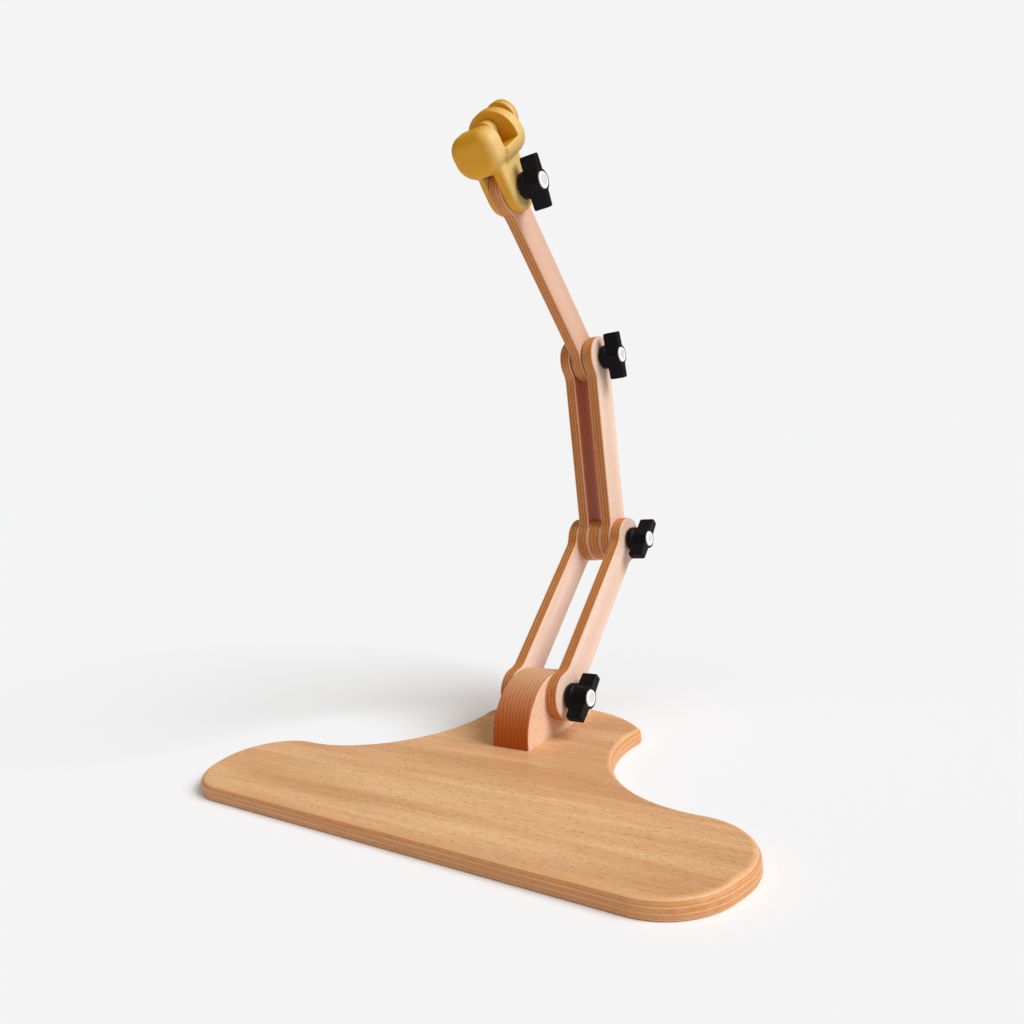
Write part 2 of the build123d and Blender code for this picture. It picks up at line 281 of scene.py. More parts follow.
def add_node(tree, kind, links=(), **settings):
    """Adds one node, sets it up, feeds its inputs in order or by name, and gives its outputs."""
    made = tree.nodes.new(f"ShaderNode{kind}")
    for key, value in settings.items():
        setattr(made, key, value)
    feeds = links.items() if isinstance(links, dict) else enumerate(links)
    for socket, source in feeds:
        if isinstance(source, bpy.types.NodeSocket):
            tree.links.new(source, made.inputs[socket])
        else:
            made.inputs[socket].default_value = source
    return made.outputs


def new_material(name):
    """An empty material, its node tree and its main shader."""
    material = bpy.data.materials.new(name)
    material.use_nodes = True
    tree = material.node_tree
    shader = tree.nodes["Principled BSDF"]
    return material, tree, shader


def set_shader(shader, **values):
    """Plain values on the shader's own sockets, by name with _ for a space."""
    for key, value in values.items():
        shader.inputs[key.replace("_", " ")].default_value = value


def surface(tree, shader, colour, rough, height, strength, depth):
    """Feeds the shader its colour, its roughness and a relief of this strength and depth."""
    bump = add_node(tree, "Bump", {"Height": height, "Strength": strength, "Distance": depth})[0]
    for socket, source in (("Base Color", colour), ("Roughness", rough), ("Normal", bump)):
        tree.links.new(source, shader.inputs[socket])


def spread(tree, vector, sizes, **settings):
    """Cloudy marks from 0 to 1, with these sizes in metres along the vector's three axes."""
    per_metre = [1 / size for size in sizes]
    scaled = add_node(tree, "VectorMath", (vector, per_metre), operation="MULTIPLY")[0]
    return add_node(tree, "TexNoise", {"Vector": scaled, "Scale": 1.0, **settings})["Fac"]


def lay_over(tree, colour, *coats):
    """A colour with others laid over it, each as (mask, strength, colour)."""
    for mask, strength, coat in coats:
        share = add_node(tree, "Math", (mask, strength), operation="MULTIPLY")[0]
        colour = add_node(tree, "Mix", {0: share, 6: colour, 7: coat}, data_type="RGBA")[2]
    return colour


def darker(colour, share):
    """A colour with this share of its light left."""
    return [channel * share for channel in colour[:3]] + [1]


def beech_figure(tree, along, across, depth):
    """Streaks, broad bands and ray flecks of beech, as three numbers from 0 to 1."""
    sizes = bpy.context.scene.hoop_stand_sizes
    grain = add_node(tree, "CombineXYZ", (along, across, depth))[0]
    streak_size = (STREAK_LENGTH, sizes.streak_width, sizes.streak_width)
    fleck_size = (sizes.fleck_length, sizes.fleck_length / 6, sizes.fleck_length / 6)
    streaks = spread(tree, grain, streak_size, Detail=4.0, Roughness=0.62, Distortion=0.25)
    bands = spread(tree, grain, BAND_SIZE, Detail=1.5)
    flecks = spread(tree, grain, fleck_size, Detail=0.0)
    limits = ((streaks, 0.36, 0.66), (bands, 0.34, 0.68), (flecks, 0.62, 0.74))
    return [add_node(tree, "MapRange", low_high)[0] for low_high in limits]


def ply_stack(tree, point, depth, start, thickness):
    """Masks for the crossed plies, the glue lines and the two outer plies of a sheet."""
    sizes = bpy.context.scene.hoop_stand_sizes
    layers = sizes.ply_layers
    ply = thickness / layers
    # pressed veneers wander a little through the sheet
    wander = spread(tree, point, PLY_WANDER_SIZE, Detail=1.0)
    level = add_node(tree, "Math", (wander, PLY_WANDER, depth), operation="MULTIPLY_ADD")[0]
    level = add_node(tree, "Math", (level, start + PLY_WANDER / 2), operation="SUBTRACT")[0]
    level = add_node(tree, "Math", (level, ply), operation="DIVIDE")[0]
    first, last = 0.001, layers - 0.001
    place = add_node(tree, "MapRange", (level, first, last, first, last))[0]
    ply_index = add_node(tree, "Math", [place], operation="FLOOR")[0]
    crossed = add_node(tree, "Math", (ply_index, 2.0), operation="MODULO")[0]

    # a glue line runs between plies, and there is none on the two faces
    nearest = add_node(tree, "Math", [place], operation="ROUND")[0]
    gap = add_node(tree, "Math", (place, nearest), operation="SUBTRACT")[0]
    gap = add_node(tree, "Math", [gap], operation="ABSOLUTE")[0]
    half_line = sizes.glue_line / 2 / ply
    line = add_node(tree, "MapRange", (gap, half_line, half_line * 2.2, 1.0, 0.0))[0]
    for fade in ((place, 0.3, 0.5, 0.0, 1.0), (place, layers - 0.5, layers - 0.3, 1.0, 0.0)):
        inside = add_node(tree, "MapRange", fade)[0]
        line = add_node(tree, "Math", (line, inside), operation="MULTIPLY")[0]

    middle = layers / 2
    from_middle = add_node(tree, "Math", (place, middle), operation="SUBTRACT")[0]
    from_middle = add_node(tree, "Math", [from_middle], operation="ABSOLUTE")[0]
    outer = add_node(tree, "MapRange", (from_middle, middle - 1.1, middle - 0.9))[0]
    return crossed, line, outer


def oiled_beech_ply(
    name, veneer, stack_axis, start, thickness,
    lean=0.0, figure=1.0, edge_light=0.0, painted_shade_side=0.0, line_depth=0.7,
):
    """Beech plywood, sanded and oiled: pale figured faces, edges striped by the crossed plies."""
    # Peeled beech veneer shows soft streaks and short dark ray flecks. A sawn edge shows every
    # second ply as end grain, which drinks the oil and goes darker, with a thin glue line between.
    colours = bpy.context.scene.hoop_stand_colours
    material, tree, shader = new_material(name)
    coords = add_node(tree, "TexCoord")
    rotation = (lean, 0.0, 0.0)
    point = add_node(tree, "Mapping", {"Vector": coords["Object"], "Rotation": rotation})[0]
    facing = add_node(tree, "Mapping", {"Vector": coords["Normal"], "Rotation": rotation})[0]
    x, y, z = add_node(tree, "SeparateXYZ", [point])
    normal_x, _, normal_z = add_node(tree, "SeparateXYZ", [facing])
    if stack_axis == "Z":
        along, across, depth, towards_face = x, y, z, normal_z
    else:
        along, across, depth, towards_face = z, y, x, normal_x

    crossed, line, outer = ply_stack(tree, point, depth, start, thickness)
    streaks, bands, flecks = beech_figure(tree, along, across, depth)
    cross_streaks = beech_figure(tree, across, along, depth)[0]

    face = lay_over(
        tree,
        veneer,
        (streaks, figure * 0.45, colours.ply_core),
        (bands, figure * 0.42, colours.late_wood),
        (flecks, figure * 0.5, colours.late_wood),
    )
    if painted_shade_side:
        # painted shade: the face of each middle link that faces its partner is mixed towards the dark
        # end-grain colour
        inward = add_node(tree, "Math", (towards_face, painted_shade_side), operation="MULTIPLY")[0]
        painted_shade_mask = add_node(tree, "MapRange", (inward, 0.5, 0.9))[0]
        face = lay_over(tree, face, (painted_shade_mask, 0.9, colours.end_grain))

    cross_layer = lay_over(tree, colours.ply_cross, (cross_streaks, 0.5, colours.ply_core))
    side = lay_over(
        tree,
        colours.ply_core,
        (streaks, 0.5, colours.ply_cross),
        (outer, 0.35, veneer),
        (crossed, 0.8, cross_layer),
        (1.0, edge_light, veneer),
        (line, line_depth, colours.glue),
    )
    flatness = add_node(tree, "Math", [towards_face], operation="ABSOLUTE")[0]
    edge = add_node(tree, "MapRange", (flatness, 0.80, 0.99, 1.0, 0.0))[0]
    wood = lay_over(tree, face, (edge, 1.0, side))

    rough = add_node(tree, "MapRange", (streaks, 0.0, 1.0, 0.40, 0.52))[0]
    groove = add_node(tree, "Math", (line, edge), operation="MULTIPLY")[0]
    sunk = add_node(tree, "Math", (streaks, 0.35, flecks), operation="MULTIPLY_ADD")[0]
    sunk = add_node(tree, "Math", (groove, 1.5, sunk), operation="MULTIPLY_ADD")[0]
    relief = add_node(tree, "Math", (sunk, -1.0), operation="MULTIPLY")[0]
    surface(tree, shader, wood, rough, relief, 0.35, 0.06 * MM)
    set_shader(shader, IOR=1.5, Specular_IOR_Level=0.35, Coat_Weight=0.04, Coat_Roughness=0.35)
    return material


def solid_beech(name):
    """Solid beech, sawn so that its growth rings stand upright, sanded and oiled."""
    # The rings are thin dark late-wood lines about 3 mm apart, drawn clear enough to read.
    # End grain takes more oil, so the foot of the curve is a deep orange brown.
    colours = bpy.context.scene.hoop_stand_colours
    material, tree, shader = new_material(name)
    coords = add_node(tree, "TexCoord")
    point = coords["Object"]
    x, y, z = add_node(tree, "SeparateXYZ", [point])
    normal_x, normal_y, _ = add_node(tree, "SeparateXYZ", [coords["Normal"]])
    streaks, _, flecks = beech_figure(tree, y, z, x)

    bow = spread(tree, point, RING_BOW_SIZE, Detail=2.0)
    place = add_node(tree, "Math", (bow, RING_BOW, x), operation="MULTIPLY_ADD")[0]
    place = add_node(tree, "Math", (z, RING_LEAN, place), operation="MULTIPLY_ADD")[0]
    place = add_node(tree, "Math", (place, RING_PITCH), operation="DIVIDE")[0]
    growth = add_node(tree, "Math", [place], operation="FRACT")[0]
    ring = add_node(tree, "Math", (growth, 3.0), operation="POWER")[0]

    towards_end = add_node(tree, "Math", [normal_y], operation="ABSOLUTE")[0]
    ends = add_node(tree, "MapRange", (towards_end, 0.25, 1.0))[0]
    towards_side = add_node(tree, "Math", [normal_x], operation="ABSOLUTE")[0]
    sides = add_node(tree, "MapRange", (towards_side, 0.6, 0.95))[0]
    long_grain = lay_over(
        tree, colours.solid_beech, (streaks, 0.35, colours.ply_core), (flecks, 0.3, colours.late_wood)
    )
    wood = lay_over(
        tree,
        long_grain,
        (1.0, 0.5, colours.ply_core),
        (ends, 1.0, colours.end_grain),
        (ring, 0.62, colours.glue),
        (sides, 1.0, long_grain),
    )

    rough = add_node(tree, "MapRange", (streaks, 0.0, 1.0, 0.42, 0.55))[0]
    relief = add_node(tree, "Math", (ring, -1.0), operation="MULTIPLY")[0]
    surface(tree, shader, wood, rough, relief, 0.3, 0.08 * MM)
    set_shader(shader, IOR=1.5, Specular_IOR_Level=0.3, Coat_Weight=0.03, Coat_Roughness=0.4)
    return material


def moulded_plastic(name, colour, rough, grain, relief, glow=0.0, gloss=0.5, painted_highlight=None):
    """Injection-moulded plastic, with the fine even texture of its mould."""
    # A mould leaves a close, soft grain, so highlights are broad and slightly broken, and thick
    # walls shrink a little, which shows as a faint unevenness over a few centimetres.
    material, tree, shader = new_material(name)
    coords = add_node(tree, "TexCoord")
    point = coords["Object"]
    fine = spread(tree, point, (grain, grain, grain), Detail=2.0)
    sink = spread(tree, point, SINK_SIZE, Detail=1.0)
    hollow = add_node(tree, "MapRange", (sink, 0.3, 0.7))[0]
    shade = lay_over(tree, colour, (hollow, 0.14, darker(colour, 0.72)))
    if painted_highlight is not None:
        # painted highlight: faces turned towards +X, where the key light falls, are mixed towards a paler
        # colour, broken up by noise
        sideways = add_node(tree, "SeparateXYZ", [coords["Normal"]])[0]
        cloud = spread(tree, point, CLOUD_SIZE, Detail=3.0)
        light = add_node(tree, "Math", (cloud, 0.5, sideways), operation="MULTIPLY_ADD")[0]
        painted_highlight_mask = add_node(tree, "MapRange", (light, 0.5, 1.2))[0]
        shade = lay_over(tree, shade, (painted_highlight_mask, 0.75, painted_highlight))

    roughness = add_node(tree, "MapRange", (fine, 0.3, 0.7, rough - 0.05, rough + 0.06))[0]
    grit = add_node(tree, "Math", (fine, relief), operation="MULTIPLY")[0]
    height = add_node(tree, "Math", (sink, 2.0, grit), operation="MULTIPLY_ADD")[0]
    surface(tree, shader, shade, roughness, height, 0.4, 0.08 * MM)
    set_shader(shader, IOR=1.5, Specular_IOR_Level=gloss)
    set_shader(shader, Subsurface_Weight=glow, Subsurface_Scale=1.5 * MM)
    set_shader(shader, Subsurface_Radius=(1.0, 0.45, 0.15))
    return material


def turned_metal(name, colour, rough, lines):
    """Machined metal: fine marks left by the tool, and small changes in its shine."""
    material, tree, shader = new_material(name)
    point = add_node(tree, "TexCoord")["Object"]
    marks = spread(tree, point, (lines, TOOL_MARK_LENGTH, TOOL_MARK_LENGTH), Detail=2.0)
    cloud = spread(tree, point, CLOUD_SIZE, Detail=3.0)
    dull = add_node(tree, "MapRange", (cloud, 0.35, 0.7))[0]
    shade = lay_over(tree, colour, (dull, 0.3, darker(colour, 0.7)))
    roughness = add_node(tree, "MapRange", (cloud, 0.3, 0.7, rough, rough + 0.14))[0]
    surface(tree, shader, shade, roughness, marks, 0.25, 0.03 * MM)
    set_shader(shader, Metallic=1.0)
    return material


def shared(name, maker, *details, **more):
    """A material that several pieces share, made once."""
    return bpy.data.materials.get(name) or maker(name, *details, **more)


def zinc_plate():
    """Bright zinc on steel: cool grey with soft cloudy reflections."""
    colour = list(bpy.context.scene.hoop_stand_colours.zinc)
    return shared("Zinc_plated_steel", turned_metal, colour, 0.28, 0.3 * MM)


def turned_brass():
    """Free-cutting brass off the lathe."""
    colour = list(bpy.context.scene.hoop_stand_colours.brass)
    return shared("Turned_brass", turned_metal, colour, 0.25, 0.25 * MM)


def head_plastic():
    """Ochre nylon, satin from the mould, slightly waxy."""
    colours = bpy.context.scene.hoop_stand_colours
    colour = list(colours.head_plastic)
    # the paler colour is a painted highlight on the side that faces the key light
    looks = {"glow": 0.03, "gloss": 0.3, "painted_highlight": list(colours.head_painted_highlight)}
    return shared("Moulded_ochre_nylon", moulded_plastic, colour, 0.5, 0.7 * MM, 0.35, **looks)


# ---- pieces ----------------------------------------------------------------------------------


class HOOPSTAND_OT_base(bpy.types.Operator):
    """Base plate in oiled plywood, with the screws that hold the block"""

    bl_idname = "hoop_stand.base"
    bl_label = "Base plate"

    def execute(self, context):
        """Finishes the base plate and its screws."""
        low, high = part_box("base_plate")
        veneer = context.scene.hoop_stand_colours.seat_veneer
        thickness = high.z - low.z
        edges = {"edge_light": 0.25, "line_depth": 0.3}
        plywood = oiled_beech_ply("Base_beech_ply", veneer, "Z", low.z, thickness, **edges)
        wear(frame["nodes"]["base_plate"], plywood)
        wear(frame["nodes"]["block_screws"], zinc_plate())
        return {"FINISHED"}


class HOOPSTAND_OT_pivot_block(bpy.types.Operator):
    """Half-round pivot block in solid beech"""

    bl_idname = "hoop_stand.pivot_block"
    bl_label = "Pivot block"

    def execute(self, context):
        """Finishes the pivot block."""
        wear(frame["nodes"]["pivot_block"], solid_beech("Solid_beech"))
        return {"FINISHED"}


class HOOPSTAND_OT_links(bpy.types.Operator):
    """The five plywood links, the elbow's spacer and the wrist's washers"""

    bl_idname = "hoop_stand.links"
    bl_label = "Links"

    def execute(self, context):
        """Gives each link plywood whose grain follows its own length."""
        colours = context.scene.hoop_stand_colours
        leans = {
            "lower_link_left": LOWER_LEAN,
            "lower_link_right": LOWER_LEAN,
            "middle_link_left": MIDDLE_LEAN,
            "middle_link_right": MIDDLE_LEAN,
            "upper_link": UPPER_LEAN,
            "elbow_spacer": MIDDLE_LEAN,
        }
        # painted shade on the faces of the two middle links that face each other
        painted_shade_sides = {"middle_link_left": 1.0, "middle_link_right": -1.0}
        for node, lean in leans.items():
            low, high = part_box(node)
            # the upper link takes the darker veneer, a painted shade
            veneer = colours.upper_veneer_painted_shade if node == "upper_link" else colours.link_veneer
            painted_shade_side = painted_shade_sides.get(node, 0.0)
            thickness = high.x - low.x
            name = f"Beech_ply_{node}"
            grain = {"lean": lean, "figure": 0.55, "painted_shade_side": painted_shade_side}
            plywood = oiled_beech_ply(name, veneer, "X", low.x, thickness, **grain)
            wear(frame["nodes"][node], plywood)
        wear(frame["nodes"]["wrist_washers"], zinc_plate())
        return {"FINISHED"}


class HOOPSTAND_OT_bolts(bpy.types.Operator):
    """Pivot bolts and the washers under the knobs"""

    bl_idname = "hoop_stand.bolts"
    bl_label = "Bolts and washers"

    def execute(self, context):
        """Finishes the bolts and washers."""
        for name in PIVOTS:
            wear(frame["nodes"][f"{name}_bolt"], zinc_plate())
            wear(frame["nodes"][f"{name}_washer"], zinc_plate())
            wear(frame["nodes"][f"{name}_insert"], turned_brass())
        return {"FINISHED"}


# A wing knob's own sizes, in millimetres from the face it bears on
WING_LENGTH = 12.8
WING_EDGE = 1.0
INSERT_BORE = 5.3
INSERT_BORE_END = 12.45
CAP_SEAT_DEPTH = 3.05
CAP_PLAY = 0.15
PAST_THE_FACE = 1.0
KNOB_VOXEL = 0.36
# How far each knob stands turned, in degrees
KNOB_TURNS = {"block": 50.0, "elbow": 47.0, "wrist": -10.5, "head": -22.5}


def wings(length, sizes):
    """The two wings of a knob as one bar across it, narrower at its tips."""
    deselect()
    wing_length = WING_LENGTH * MM
    middle = length * MM - wing_length / 2
    bpy.ops.mesh.primitive_cube_add(size=1, location=(middle, 0, 0))
    made = bpy.context.object
    made.scale = (wing_length, sizes.wing_root, 2 * sizes.wing_reach)
    settle(made)
    bpy.ops.object.mode_set(mode="EDIT")
    bpy.ops.mesh.select_all(action="SELECT")
    bpy.ops.mesh.bisect(plane_co=(middle, 0, 0), plane_no=(0, 0, 1))
    bpy.ops.object.mode_set(mode="OBJECT")
    corners = made.data.vertices
    for vertex in corners:
        vertex.select = abs(vertex.co.z) > sizes.wing_reach * 0.9
    for line in made.data.edges:
        line.select = all(corners[v].select for v in line.vertices)
    for side in made.data.polygons:
        side.select = all(corners[v].select for v in side.vertices)
    bpy.ops.object.mode_set(mode="EDIT")
    narrowing = sizes.wing_tip / sizes.wing_root
    bpy.ops.transform.resize(value=(1, narrowing, 1), center_override=(middle, 0, 0))
    bpy.ops.object.mode_set(mode="OBJECT")
    rounding = {"width": WING_EDGE * MM, "segments": 4, "limit_method": "ANGLE", "angle_limit": radians(40)}
    apply_modifier(made, "BEVEL", **rounding)
    return made


def cut_round(obj, start, end, radius):
    """Cuts a round hole along the X axis, from one place to another in millimetres."""
    cutter = turned("cutter", [(start, 0), (start, radius), (end, radius), (end, 0)])
    apply_modifier(obj, "BOOLEAN", object=cutter, operation="DIFFERENCE", solver="EXACT")
    bpy.data.objects.remove(cutter)


class HOOPSTAND_OT_wing_knobs(bpy.types.Operator):
    """Four moulded wing knobs, modelled once and copied to the pivots"""

    bl_idname = "hoop_stand.wing_knobs"
    bl_label = "Wing knobs"

    def execute(self, context):
        """Models a knob about the X axis from the face it bears on, then places four."""
        sizes = context.scene.hoop_stand_sizes
        node_low, node_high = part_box("block_knob")
        length = (node_high.x - node_low.x) / MM
        hub = sizes.hub_radius / MM
        flange = sizes.flange_radius / MM
        outline = [
            (0, 0), (0, flange - 0.3), (0.4, flange), (4.4, flange),
            (5.4, hub + 0.4), (7, hub), (length, hub - 0.2), (length, 0),
        ]
        knob = turned("wing_knob", outline)
        bar = wings(length, sizes)
        apply_modifier(knob, "BOOLEAN", object=bar, operation="UNION", solver="EXACT")
        bpy.data.objects.remove(bar)
        cut_round(knob, -PAST_THE_FACE, INSERT_BORE_END, INSERT_BORE)
        cap_seat = sizes.cap_radius / MM + CAP_PLAY
        cut_round(knob, length - CAP_SEAT_DEPTH, length + PAST_THE_FACE, cap_seat)
        apply_modifier(knob, "REMESH", mode="VOXEL", voxel_size=KNOB_VOXEL * MM)
        apply_modifier(knob, "SMOOTH", factor=0.5, iterations=5)
        smooth(knob, 180)
        colour = list(context.scene.hoop_stand_colours.knob_plastic)
        wear(knob, shared("Moulded_black_nylon", moulded_plastic, colour, 0.5, 0.45 * MM, 0.8, gloss=0.15))
        for name in PIVOTS:
            bearing_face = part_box(f"{name}_insert")[0].x
            washer_low, washer_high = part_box(f"{name}_washer")
            axis = (washer_low + washer_high) / 2
            made = copy_of(knob, f"wing_knob_{name}")
            spot = Matrix.Translation((bearing_face, axis.y, axis.z))
            place(made, spot @ Matrix.Rotation(-radians(KNOB_TURNS[name]), 4, "X"))
            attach(made, f"{name}_knob_body")
            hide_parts(f"{name}_knob")
        bpy.data.objects.remove(knob)
        return {"FINISHED"}


# How far a cap's top stays below the frame's own cap, in millimetres
CAP_SUNK = 0.25


class HOOPSTAND_OT_knob_caps(bpy.types.Operator):
    """Pale press-in caps with a shallow dish"""

    bl_idname = "hoop_stand.knob_caps"
    bl_label = "Knob caps"

    def execute(self, context):
        """Turns one cap and places four."""
        sizes = context.scene.hoop_stand_sizes
        colours = context.scene.hoop_stand_colours
        low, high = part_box("block_cap")
        length = (high.x - low.x) / MM
        rim = sizes.cap_radius / MM
        dish = sizes.dish_radius / MM
        top = length - CAP_SUNK
        outline = [
            (0, 0), (0, rim), (top - 0.7, rim), (top - 0.15, rim - 0.35), (top, rim - 0.9),
            (top, dish + 0.3), (top - 0.1, dish), (top - 0.4, dish - 0.25), (top - 0.45, 0),
        ]
        cap = turned("knob_cap", outline)
        smooth(cap, 30)
        rim_colour = list(colours.cap_plastic)
        dish_shade_colour = list(colours.dish_painted_shade)
        wear(
            cap,
            shared("Moulded_white_cap", moulded_plastic, rim_colour, 0.3, 0.5 * MM, 0.1),
            shared("Moulded_grey_dish", moulded_plastic, dish_shade_colour, 0.35, 0.5 * MM, 0.1),
        )
        # faces of the dish take the grey painted shade, the rest the white rim
        for side in cap.data.polygons:
            inner = (side.center.y**2 + side.center.z**2) ** 0.5 < dish * MM
            side.material_index = 1 if inner and side.center.x > length * MM / 2 else 0
        for name in PIVOTS:
            cap_low, cap_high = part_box(f"{name}_cap")
            middle = (cap_low + cap_high) / 2
            made = copy_of(cap, f"cap_{name}")
            place(made, Matrix.Translation((cap_low.x, middle.y, middle.z)))
            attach(made, f"{name}_knob_body")
            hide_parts(f"{name}_cap")
        bpy.data.objects.remove(cap)
        return {"FINISHED"}


# Where the head is softened, in millimetres from its pivot: X along the jaws, Y up, Z forward
HEAD_VOXEL = 0.55
FORK_GAP_SIDE = 7.5
NECK_HEIGHT = 18.5
SHOULDER_SIDE = 15.5
SHOULDER_TOP = 33.0
SHOULDER_FORWARD = 8.5
SOFTENED_REACH = 7.0


class HOOPSTAND_OT_clamp_head(bpy.types.Operator):
    """Moulded clamp head with softened edges"""

    bl_idname = "hoop_stand.clamp_head"
    bl_label = "Clamp head"

    def execute(self, context):
        """Softens a copy of the frame's head as a mould would."""
        head = merged_copy("clamp_body", "clamp_head")
        apply_modifier(head, "REMESH", mode="VOXEL", voxel_size=HEAD_VOXEL * MM)
        soften_neck(head)
        apply_modifier(head, "SMOOTH", factor=0.5, iterations=4)
        smooth(head, 180)
        wear(head, head_plastic())
        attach(head, "clamp_head")
        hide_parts("clamp_body")
        wear(frame["nodes"]["jaw_insert"], turned_brass())
        return {"FINISHED"}


def soften_neck(head):
    """Blends the fork into the head above it with a broad hollow."""
    inverse = head_matrix().inverted()
    group = head.vertex_groups.new(name="neck")
    for vertex in head.data.vertices:
        here = inverse @ vertex.co / MM
        share = 0.0
        if abs(here.x) > FORK_GAP_SIDE:
            share = 1.0 - abs(here.y - NECK_HEIGHT) / SOFTENED_REACH
        # the shoulder where the narrower front jaw meets the body of the head
        if abs(here.x) > SHOULDER_SIDE and here.y < SHOULDER_TOP:
            share = max(share, 1.0 - abs(here.z - SHOULDER_FORWARD) / SOFTENED_REACH)
        if share > 0:
            group.add([vertex.index], share, "REPLACE")
    apply_modifier(head, "SMOOTH", factor=0.6, iterations=60, vertex_group="neck")
    head.vertex_groups.clear()


# The clamping screw's radius in millimetres, and its thread's shape as shares of the pitch
CREST_RADIUS = 4.0
THREAD_DEPTH = 0.55
THREAD_FLAT = 0.12
THREAD_FLANK = 0.38
# The cuts miss the thread's own corners and snap to none, so that both ends close cleanly
FIRST_CUT = 1.483
CUT_SNAP = 1e-7


def threaded_rod(length, pitch):
    """A screw along the Z axis from Z = 0, cut flat at both ends."""
    crest = CREST_RADIUS * MM
    root = crest - THREAD_DEPTH * pitch
    deselect()
    bpy.ops.mesh.primitive_plane_add(size=MM)
    rod = bpy.context.object
    rod.name = "clamping_screw"
    bpy.ops.object.mode_set(mode="EDIT")
    bpy.ops.mesh.select_all(action="SELECT")
    bpy.ops.mesh.merge(type="CENTER")
    bpy.ops.transform.translate(value=(root, 0, 0))
    tooth = ((0, THREAD_FLAT), (crest - root, THREAD_FLANK), (0, THREAD_FLAT), (root - crest, THREAD_FLANK))
    for outwards, upwards in tooth:
        move = {"value": (outwards, 0, upwards * pitch)}
        bpy.ops.mesh.extrude_vertices_move(TRANSFORM_OT_translate=move)
    bpy.ops.object.mode_set(mode="OBJECT")
    winding = {"axis": "Z", "angle": 2 * pi, "screw_offset": pitch, "iterations": int(length / pitch) + 3}
    joining = {"use_merge_vertices": True, "merge_threshold": SAME_PLACE}
    apply_modifier(rod, "SCREW", steps=32, render_steps=32, **winding, **joining)
    bpy.ops.object.mode_set(mode="EDIT")
    bpy.ops.mesh.select_all(action="SELECT")
    bpy.ops.mesh.remove_doubles(threshold=SAME_PLACE)
    first_cut = FIRST_CUT * pitch
    for cut, outer in ((first_cut, False), (first_cut + length, True)):
        bpy.ops.mesh.select_all(action="SELECT")
        removed = {"clear_inner": not outer, "clear_outer": outer}
        bpy.ops.mesh.bisect(
            plane_co=(0, 0, cut), plane_no=(0, 0, 1), use_fill=True, threshold=CUT_SNAP, **removed
        )
    bpy.ops.mesh.select_all(action="SELECT")
    bpy.ops.mesh.normals_make_consistent(inside=False)
    bpy.ops.object.mode_set(mode="OBJECT")
    place(rod, Matrix.Translation((0, 0, -first_cut)))
    return rod


def clamping_knob(start, end, radius):
    """The screw's round knob about the X axis: a rim, a groove behind it and a taper to its back."""
    outline = [
        (end, 0), (end, radius - 1.2), (end - 0.4, radius - 0.4), (end - 1.2, radius),
        (end - 3.4, radius), (end - 3.8, radius - 0.45), (end - 4.3, radius - 0.5),
        (end - 4.7, radius - 0.1), (end - 6.6, radius - 0.3), (end - 8.0, radius - 1.2),
        (start + 0.6, radius - 3.0), (start, radius - 5.5), (start, 0),
    ]
    return turned("clamping_knob", outline, 96)


class HOOPSTAND_OT_clamp_screw(bpy.types.Operator):
    """Clamping screw with its thread, its round knob and its pad"""

    bl_idname = "hoop_stand.clamp_screw"
    bl_label = "Clamping screw"

    def execute(self, context):
        """Models the screw and its knob along the head's own axis."""
        pitch = context.scene.hoop_stand_sizes.thread_pitch
        frame_of_head = head_matrix()
        inverse = frame_of_head.inverted()
        nodes = frame["nodes"]
        screw_points = [inverse @ v.co for v in nodes["clamp_screw"].data.vertices]
        knob_points = [inverse @ v.co for v in nodes["clamp_knob"].data.vertices]
        height = sum(p.y for p in knob_points) / len(knob_points)
        axis = frame_of_head @ Matrix.Translation((0, height, 0))

        start = min(p.z for p in screw_points)
        end = max(p.z for p in screw_points)
        screw = threaded_rod(end - start, pitch)
        place(screw, axis @ Matrix.Translation((0, 0, start)))
        smooth(screw, 25)
        wear(screw, zinc_plate())

        start = min(p.z for p in knob_points) / MM
        end = max(p.z for p in knob_points) / MM
        knob = clamping_knob(start, end, max(p.x for p in knob_points) / MM)
        # X of a turned piece becomes the head's forward axis
        spot = axis @ Matrix.Rotation(-pi / 2, 4, "Y")
        place(knob, spot)
        smooth(knob, 40)
        wear(knob, head_plastic())
        for made, node, slot in ((screw, "clamp_screw", "steel"), (knob, "clamp_knob", "head_plastic")):
            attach(made, "screw_body")
            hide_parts(node)
        wear(nodes["clamp_pad"], head_plastic())
        return {"FINISHED"}


# Each sun: name, azimuth from -Y towards +X, elevation, strength, apparent width, tint
SUNS = (
    ("Key", 98, 40, 3.1, 35, (0.90, 0.95, 1.0)),
    ("Fill", 20, 70, 0.5, 60, (0.94, 0.97, 1.0)),
)
BACKDROP = "#f4f4f4"
AMBIENT_COLOUR = (1.0, 0.80, 0.58, 1)
AMBIENT_STRENGTH = 0.26
FLOOR_RADIUS = 30
FLOOR_SHADE = [0.85, 0.85, 0.85, 1]
# The camera, in metres, millimetres and degrees
CAMERA_PLACE = (0.34636, -0.49457, 0.21955)
CAMERA_LENS = 28.56
CAMERA_HEADING = 35.79
CAMERA_DIP = 4.02
CAMERA_ROLL = -5.70


def towards_sun(azimuth, elevation):
    """The direction from the stand to a sun, from its two angles in degrees."""
    a = radians(azimuth)
    e = radians(elevation)
    return Vector((sin(a) * cos(e), -cos(a) * cos(e), sin(e)))


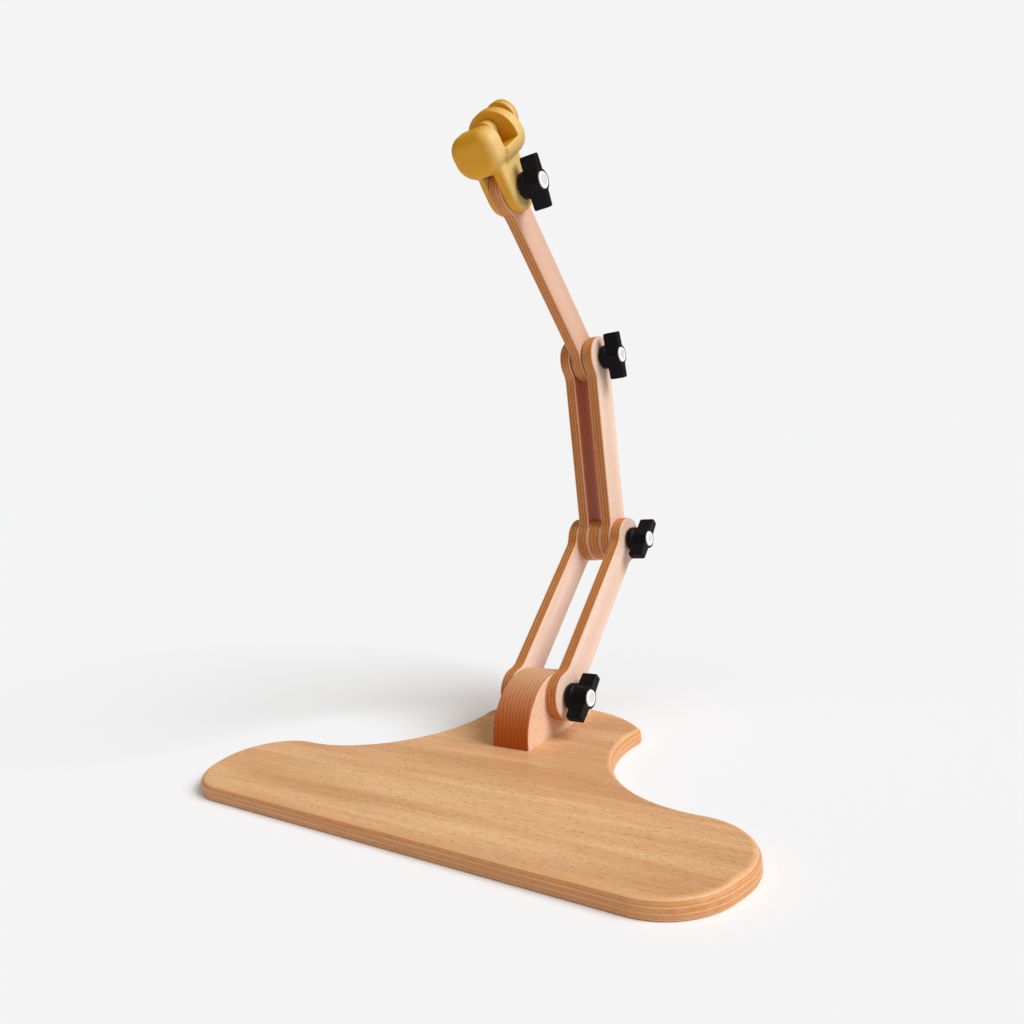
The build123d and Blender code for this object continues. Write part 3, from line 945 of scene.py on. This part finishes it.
class HOOPSTAND_OT_stage(bpy.types.Operator):
    """Pale floor, soft studio light and the camera"""

    bl_idname = "hoop_stand.stage"
    bl_label = "Stage"

    def execute(self, context):
        """Builds the floor, the lights and the camera."""
        scene = context.scene
        deselect()
        bpy.ops.mesh.primitive_circle_add(vertices=96, radius=FLOOR_RADIUS, fill_type="NGON")
        floor = bpy.context.object
        floor.name = "studio_floor"
        material, tree, shader = new_material("Matt_white_floor")
        point = add_node(tree, "TexCoord")["Object"]
        cloud = spread(tree, point, (0.4, 0.4, 0.4), Detail=1.0)
        tone = add_node(tree, "MapRange", (cloud, 0.3, 0.7))[0]
        shade = lay_over(tree, list(scene.hoop_stand_colours.floor), (tone, 0.02, FLOOR_SHADE))
        tree.links.new(shade, shader.inputs["Base Color"])
        set_shader(shader, Roughness=1.0, Specular_IOR_Level=0.0)
        wear(floor, material)

        world = bpy.data.worlds.new("Studio")
        scene.world = world
        world.use_nodes = True
        sky = world.node_tree
        ambient = sky.nodes["Background"]
        ambient.inputs["Color"].default_value = AMBIENT_COLOUR
        ambient.inputs["Strength"].default_value = AMBIENT_STRENGTH
        backdrop = add_node(sky, "Background", {"Color": linear(BACKDROP), "Strength": 1.0})[0]
        seen = add_node(sky, "LightPath")["Is Camera Ray"]
        either = add_node(sky, "MixShader", (seen, ambient.outputs[0], backdrop))[0]
        sky.links.new(either, sky.nodes["World Output"].inputs["Surface"])

        for name, azimuth, elevation, strength, width, tint in SUNS:
            bpy.ops.object.light_add(type="SUN", location=(0, 0, 2))
            light = bpy.context.object
            light.name = name
            light.data.energy = strength
            light.data.angle = radians(width)
            light.data.color = tint
            light.rotation_euler = towards_sun(azimuth, elevation).to_track_quat("Z", "Y").to_euler()

        bpy.ops.object.camera_add(location=CAMERA_PLACE)
        camera = bpy.context.object
        camera.name = "Studio_camera"
        camera.data.lens = CAMERA_LENS
        camera.data.sensor_width = 36
        heading = Matrix.Rotation(radians(CAMERA_HEADING), 4, "Z")
        tilt = Matrix.Rotation(radians(90 - CAMERA_DIP), 4, "X")
        look = heading @ tilt @ Matrix.Rotation(radians(CAMERA_ROLL), 4, "Z")
        camera.rotation_euler = look.to_euler()
        camera.data.clip_start = 0.01
        camera.data.clip_end = 100
        scene.camera = camera
        scene.view_settings.view_transform = "Standard"
        return {"FINISHED"}


class HOOPSTAND_PT_panel(bpy.types.Panel):
    """Lists the stand's pieces, sizes and colours"""

    bl_idname = "HOOPSTAND_PT_panel"
    bl_label = "Hoop stand"
    bl_space_type = "VIEW_3D"
    bl_region_type = "UI"
    bl_category = "Hoop stand"

    def draw(self, context):
        """Draws the buttons and the settings."""
        for operator in OPERATORS:
            self.layout.operator(operator.bl_idname)
        for group in (context.scene.hoop_stand_sizes, context.scene.hoop_stand_colours):
            box = self.layout.box()
            for key in group.__annotations__:
                box.prop(group, key)


OPERATORS = (
    HOOPSTAND_OT_stage,
    HOOPSTAND_OT_base,
    HOOPSTAND_OT_pivot_block,
    HOOPSTAND_OT_links,
    HOOPSTAND_OT_bolts,
    HOOPSTAND_OT_wing_knobs,
    HOOPSTAND_OT_knob_caps,
    HOOPSTAND_OT_clamp_head,
    HOOPSTAND_OT_clamp_screw,
)
CLASSES = (HoopStandSizes, HoopStandColours, *OPERATORS, HOOPSTAND_PT_panel)


def register():
    """Registers the classes and the settings."""
    for made in CLASSES:
        bpy.utils.register_class(made)
    bpy.types.Scene.hoop_stand_sizes = PointerProperty(type=HoopStandSizes)
    bpy.types.Scene.hoop_stand_colours = PointerProperty(type=HoopStandColours)


def unregister():
    """Takes the settings and the classes away again."""
    del bpy.types.Scene.hoop_stand_colours
    del bpy.types.Scene.hoop_stand_sizes
    for made in reversed(CLASSES):
        bpy.utils.unregister_class(made)


def main():
    """Builds everything."""
    register()
    bpy.ops.hoop_stand.stage()
    bpy.ops.hoop_stand.base()
    bpy.ops.hoop_stand.pivot_block()
    bpy.ops.hoop_stand.links()
    bpy.ops.hoop_stand.bolts()
    bpy.ops.hoop_stand.wing_knobs()
    bpy.ops.hoop_stand.knob_caps()
    bpy.ops.hoop_stand.clamp_head()
    bpy.ops.hoop_stand.clamp_screw()
    deselect()


if __name__ == "__main__":
    main()
